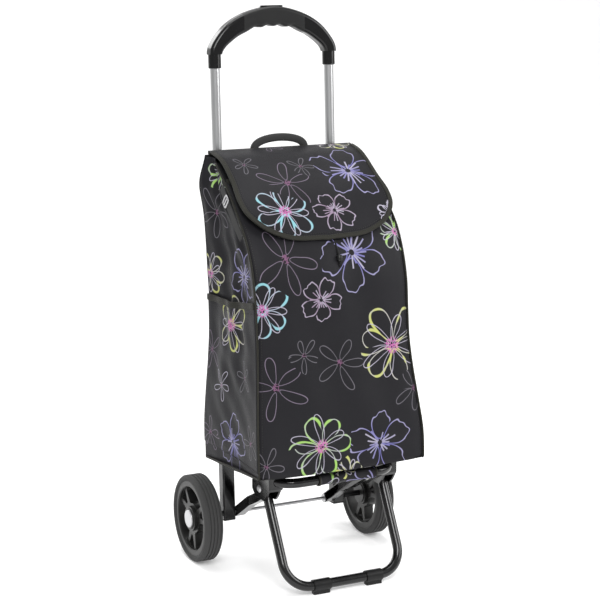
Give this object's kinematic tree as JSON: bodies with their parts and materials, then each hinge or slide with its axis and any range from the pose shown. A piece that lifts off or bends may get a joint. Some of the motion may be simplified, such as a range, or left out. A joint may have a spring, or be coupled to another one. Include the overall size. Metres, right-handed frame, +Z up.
{
  "type": "shopping trolley",
  "caption": "Two-wheeled folding shopping trolley with leaning tube frame, telescopic arched handle, fold-up base and stand leg, and a flower-print fabric bag with flap.",
  "frame": {"origin": "middle of the footprint on the floor, at the bounding box's bottom centre", "axes": "+Z up, the trolley's front (bag front and stand leg) faces -Y, +X to the right seen from the front with the wheels' axle along X"},
  "size_m": [0.3666, 0.321, 0.9384],
  "materials": {
    "black_steel": "gloss black enamel on steel tube",
    "satin_aluminium": "satin drawn tube",
    "bright_steel": "zinc plated",
    "rim_plastic": "moulded, satin",
    "tyre_rubber": "moulded rubber, ribbed tread",
    "cap_silver": "silver push-on cap",
    "black_plastic": "moulded, satin",
    "button_plastic": "smooth moulded",
    "soft_rubber": "soft touch",
    "print_fabric": "woven polyester with a line-drawn flower print",
    "black_webbing": "woven webbing and binding tape"
  },
  "bodies": {
    "frame": {"upright_left": "black_steel", "upright_right": "black_steel", "upright_caps": "black_plastic", "tube_collars": "black_plastic", "cross_bar_lower": "black_steel", "cross_bar_upper": "black_steel", "frame_rivets": "bright_steel", "axle": "bright_steel", "axle_spacers": "black_plastic", "axle_clips": "bright_steel", "axle_push_nuts": "bright_steel"},
    "wheel_left": {"wheel_rim_left": "rim_plastic", "tyre_left": "tyre_rubber", "hub_cap_left": "cap_silver", "hub_bush_left": "black_plastic"},
    "wheel_right": {"wheel_rim_right": "rim_plastic", "tyre_right": "tyre_rubber", "hub_cap_right": "cap_silver", "hub_bush_right": "black_plastic"},
    "handle": {"handle_tube_left": "satin_aluminium", "handle_tube_right": "satin_aluminium", "guide_plug_left": "black_plastic", "guide_plug_right": "black_plastic", "lock_pins": "bright_steel", "grip_elbow_left": "black_plastic", "grip_elbow_right": "black_plastic", "grip_sleeve": "soft_rubber"},
    "release": {"push_button": "button_plastic", "release_yoke": "black_plastic", "push_rods": "bright_steel"},
    "base": {"side_arm_left": "black_steel", "side_arm_right": "black_steel", "arm_bushes": "black_plastic", "base_bracket_left": "black_plastic", "base_bracket_right": "black_plastic", "pivot_pins": "bright_steel", "platform_loop": "black_steel", "base_strap": "print_fabric"},
    "stand": {"stand_leg": "black_steel", "stand_foot_left": "soft_rubber", "stand_foot_right": "soft_rubber"},
    "bag": {"bag_front": "print_fabric", "bag_back": "print_fabric", "bag_side_left": "print_fabric", "bag_side_right": "print_fabric", "bag_floor": "print_fabric", "side_pocket": "print_fabric", "side_straps": "black_webbing", "strap_sliders": "black_plastic", "carry_handle": "black_webbing", "carry_handle_tabs": "black_webbing", "hang_hooks": "black_plastic", "flap_seam": "black_webbing", "cord_eyelet": "bright_steel", "drawstring": "black_webbing", "cord_lock": "black_plastic", "cord_knot": "black_webbing"},
    "flap": {"flap": "print_fabric"}
  },
  "joints": [
    {"name": "wheel_left_spin", "type": "hinge", "parent": "frame", "child": "wheel_left", "pos_m": [-0.1644, 0.0855, 0.075], "axis": [1, 0, 0], "continuous": true},
    {"name": "wheel_right_spin", "type": "hinge", "parent": "frame", "child": "wheel_right", "pos_m": [0.1644, 0.0855, 0.075], "axis": [1, 0, 0], "continuous": true},
    {"name": "handle_slide", "type": "slide", "parent": "frame", "child": "handle", "axis": [0, 0.0489, 0.9988], "range_m": [-0.238, 0]},
    {"name": "release_press", "type": "slide", "parent": "handle", "child": "release", "axis": [0, -0.0489, -0.9988], "range_m": [0, 0.0035], "stiffness_N_per_m": 900, "springref_m": -0.004},
    {"name": "base_fold", "type": "hinge", "parent": "frame", "child": "base", "pos_m": [0, 0.0855, 0.075], "axis": [-1, 0, 0], "range_deg": [0, 50]},
    {"name": "stand_fold", "type": "hinge", "parent": "base", "child": "stand", "pos_m": [0, -0.0665, 0.1635], "axis": [1, 0, 0], "range_deg": [0, 75]},
    {"name": "bag_lift", "type": "slide", "parent": "frame", "child": "bag", "axis": [0, 0.0489, 0.9988], "range_m": [0, 0.19]},
    {"name": "flap_open", "type": "hinge", "parent": "bag", "child": "flap", "pos_m": [0, 0.0945, 0.703], "axis": [-1, 0, 0], "range_deg": [0, 105]}
  ],
  "couplings": [
    {"joint": "bag_lift", "follows": "base_fold", "m_per_rad": 0.215}
  ]
}
